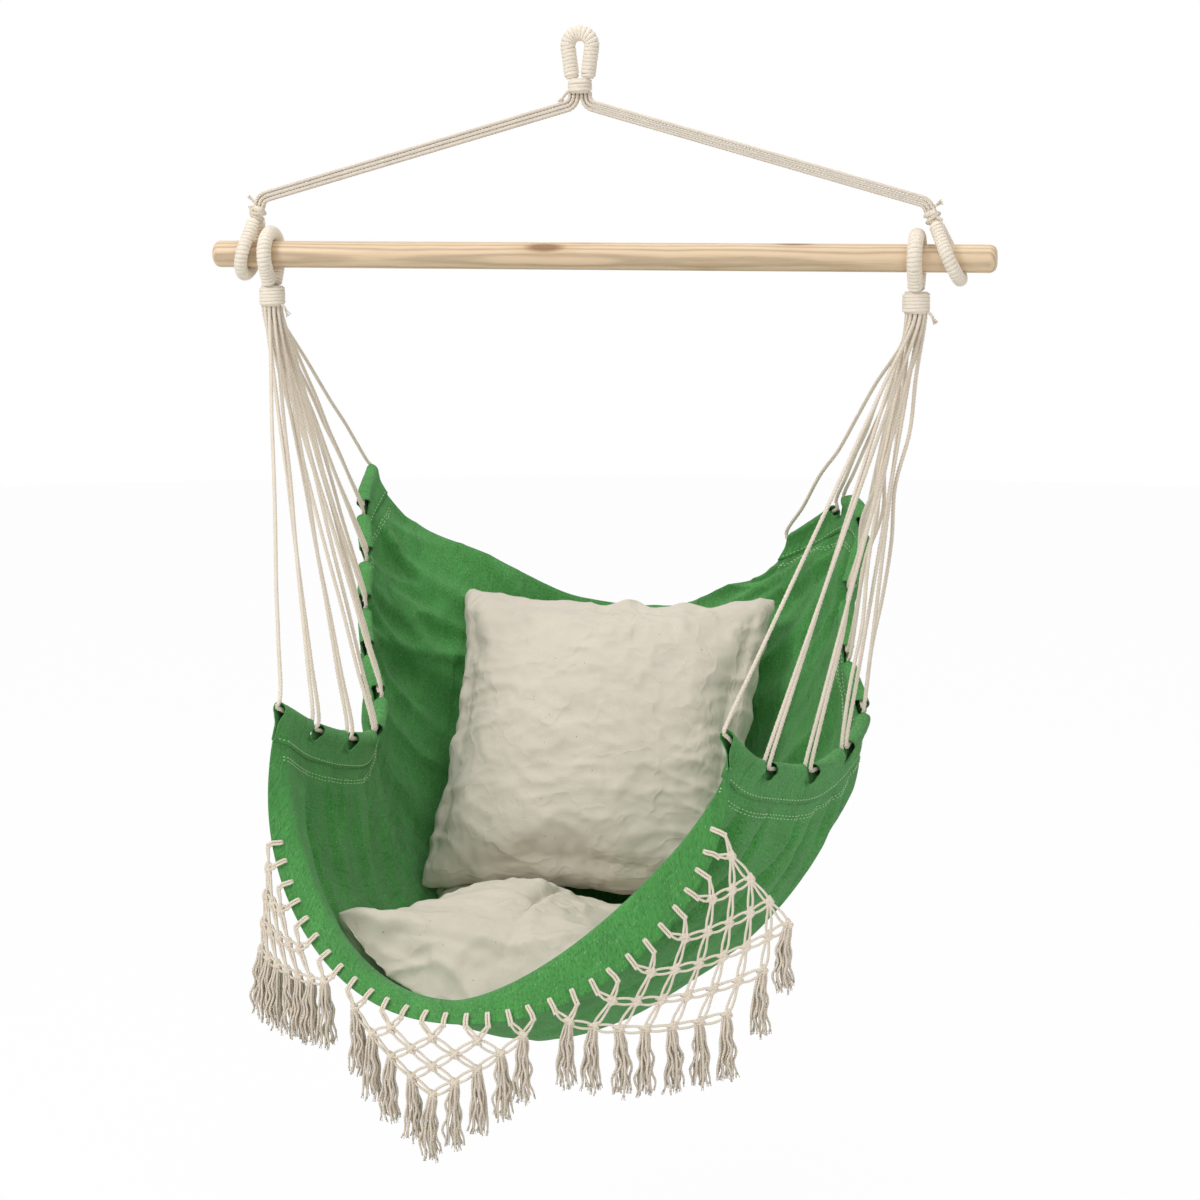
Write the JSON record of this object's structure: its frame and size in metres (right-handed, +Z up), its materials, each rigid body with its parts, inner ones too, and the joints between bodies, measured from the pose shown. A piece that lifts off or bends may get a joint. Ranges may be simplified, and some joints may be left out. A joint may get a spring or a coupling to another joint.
{
  "type": "hammock chair",
  "caption": "Hanging fabric armchair: a cloth seat with loose pillows and a knotted fringe, hung by fans of cords from a round wooden bar under a whipped cord eye.",
  "frame": {"origin": "the point where a hook bears on the inside top of the hanging eye", "axes": "+X along the spreader bar to the sitter's left when seated, -Y towards the open front of the seat, +Z up"},
  "size_m": [1, 0.7739, 1.3017],
  "materials": {
    "cotton_cord": "natural unbleached twisted cotton cord",
    "green_canvas": "bright green cotton canvas with pale green stitching",
    "pillow_cloth": "washed natural cotton, softly wrinkled",
    "pale_wood": "pale turned softwood with fine grain, satin"
  },
  "bodies": {
    "hanger": {"hanging_eye": "cotton_cord", "hanging_eye_whipping": "cotton_cord", "neck_binding_strands": "cotton_cord", "neck_binding": "cotton_cord", "bridle_loop_left": "cotton_cord", "bridle_loop_left_whipping": "cotton_cord", "bridle_knot_left": "cotton_cord", "bridle_cord_left_1": "cotton_cord", "bridle_cord_left_2": "cotton_cord", "bridle_cord_left_3": "cotton_cord", "bridle_cord_left_4": "cotton_cord", "bridle_cord_left_5": "cotton_cord", "bridle_cord_left_6": "cotton_cord", "bridle_loop_right": "cotton_cord", "bridle_loop_right_whipping": "cotton_cord", "bridle_knot_right": "cotton_cord", "bridle_cord_right_1": "cotton_cord", "bridle_cord_right_2": "cotton_cord", "bridle_cord_right_3": "cotton_cord", "bridle_cord_right_4": "cotton_cord", "bridle_cord_right_5": "cotton_cord", "bridle_cord_right_6": "cotton_cord"},
    "bar": {"spreader_bar": "pale_wood"},
    "seat": {"seat_cloth": "green_canvas", "side_casing_left": "green_canvas", "clew_loop_left": "cotton_cord", "clew_loop_left_whipping": "cotton_cord", "clew_binding_left_strands": "cotton_cord", "clew_binding_left": "cotton_cord", "clew_cord_left_1": "cotton_cord", "clew_cord_left_2": "cotton_cord", "clew_cord_left_3": "cotton_cord", "clew_cord_left_4": "cotton_cord", "clew_cord_left_5": "cotton_cord", "clew_cord_left_6": "cotton_cord", "clew_cord_left_7": "cotton_cord", "clew_cord_left_8": "cotton_cord", "clew_cord_left_9": "cotton_cord", "side_casing_right": "green_canvas", "clew_loop_right": "cotton_cord", "clew_loop_right_whipping": "cotton_cord", "clew_binding_right_strands": "cotton_cord", "clew_binding_right": "cotton_cord", "clew_cord_right_1": "cotton_cord", "clew_cord_right_2": "cotton_cord", "clew_cord_right_3": "cotton_cord", "clew_cord_right_4": "cotton_cord", "clew_cord_right_5": "cotton_cord", "clew_cord_right_6": "cotton_cord", "clew_cord_right_7": "cotton_cord", "clew_cord_right_8": "cotton_cord", "clew_cord_right_9": "cotton_cord", "fringe_left": "cotton_cord", "fringe_centre": "cotton_cord", "fringe_right": "cotton_cord"},
    "back_pillow": {"back_pillow": "pillow_cloth"},
    "seat_pillow": {"seat_pillow": "pillow_cloth"}
  },
  "joints": [
    {"name": "bar_roll", "type": "hinge", "parent": "hanger", "child": "bar", "pos_m": [0, 0, -0.262], "axis": [1, 0, 0], "continuous": true},
    {"name": "seat_swing", "type": "hinge", "parent": "hanger", "child": "seat", "pos_m": [0, 0, -0.262], "axis": [1, 0, 0], "range_deg": [-35, 35]},
    {"name": "seat_pillow_lift", "type": "slide", "parent": "seat", "child": "seat_pillow", "axis": [0, 0, 1], "range_m": [0, 0.25]},
    {"name": "back_pillow_lift", "type": "slide", "parent": "seat_pillow", "child": "back_pillow", "axis": [0, 0, 1], "range_m": [0, 0.25]}
  ]
}
